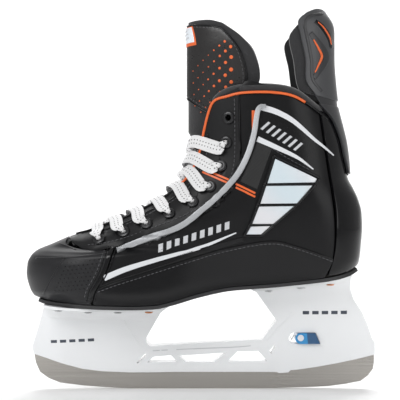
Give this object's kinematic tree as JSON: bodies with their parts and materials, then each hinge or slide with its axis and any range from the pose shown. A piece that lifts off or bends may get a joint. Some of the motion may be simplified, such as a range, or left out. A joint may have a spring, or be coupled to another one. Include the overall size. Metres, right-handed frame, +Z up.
{
  "type": "ice hockey skate",
  "caption": "Left ice hockey skate: laced moulded boot with hinging tongue and tendon guard, white two-tower holder, swing-out steel runner and release slider.",
  "frame": {"origin": "centre of the overall box in plan, on the ice under the runner", "axes": "+X from toe to heel, +Y to the inner side of the foot, +Z up"},
  "size_m": [0.3007, 0.0994, 0.3256],
  "materials": {
    "sole_plate": "matte",
    "board": "matte",
    "foam_grey": "matte",
    "toe_black": "satin",
    "lining_black": "matte",
    "shell_black": "satin",
    "gloss_black": "gloss",
    "pearl": "gloss",
    "eyelet_black": "satin",
    "lace_white": "matte",
    "clear_tip": "gloss",
    "felt_black": "matte",
    "tongue_grey": "satin",
    "badge_white": "satin",
    "guard_grey": "satin",
    "accent_orange": "satin",
    "holder_white": "gloss",
    "runner_steel": "brushed",
    "slider_blue": "gloss",
    "mark_white": "satin",
    "spring_steel": "satin",
    "rivet_steel": "satin",
    "rivet_copper": "satin"
  },
  "bodies": {
    "boot": {"outsole": "sole_plate", "insole_board": "board", "footbed": "foam_grey", "toe_cap": "toe_black", "toe_lining": "lining_black", "quarter_lateral": "shell_black", "quarter_medial": "shell_black", "facing_lateral": "shell_black", "facing_medial": "shell_black", "lining_lateral": "lining_black", "lining_medial": "lining_black", "ankle_pad_lateral": "foam_grey", "ankle_pad_medial": "foam_grey", "heel_counter": "gloss_black", "heel_lining": "lining_black", "side_wrap_lateral": "toe_black", "side_wrap_medial": "toe_black", "side_panel_lateral": "pearl", "side_panel_medial": "pearl", "eyelets_lateral": "eyelet_black", "eyelets_medial": "eyelet_black", "lace": "lace_white", "lace_end_lateral": "lace_white", "lace_end_medial": "lace_white", "lace_tips": "clear_tip", "tongue_base": "felt_black", "guard_base": "guard_grey", "holder": "holder_white", "return_spring": "spring_steel", "catch_spring": "spring_steel", "rivets_steel": "rivet_steel", "rivets_copper": "rivet_copper"},
    "tongue": {"tongue_flap": "felt_black", "tongue_face": "tongue_grey", "tongue_badge": "badge_white"},
    "guard": {"tendon_guard": "guard_grey", "guard_felt": "felt_black", "guard_insert": "accent_orange"},
    "blade": {"runner": "runner_steel"},
    "slider": {"release_slider": "slider_blue", "slider_marks": "mark_white"}
  },
  "joints": [
    {"name": "runner_swing", "type": "hinge", "parent": "boot", "child": "blade", "pos_m": [-0.138, 0, 0.0275], "axis": [0, 1, 0], "range_deg": [0, 10], "deforming": ["catch_spring"]},
    {"name": "release_slide", "type": "slide", "parent": "boot", "child": "slider", "axis": [-1, 0, 0], "range_m": [0, 0.005], "stiffness_N_per_m": 300, "deforming": ["return_spring", "catch_spring"]},
    {"name": "tongue_flex", "type": "hinge", "parent": "boot", "child": "tongue", "pos_m": [-0.006, 0, 0.214], "axis": [0, -1, 0], "range_deg": [-4, 32], "stiffness_Nm_per_rad": 1},
    {"name": "guard_flex", "type": "hinge", "parent": "boot", "child": "guard", "pos_m": [0.118, 0, 0.247], "axis": [0, 1, 0], "range_deg": [-3, 25], "stiffness_Nm_per_rad": 2}
  ]
}
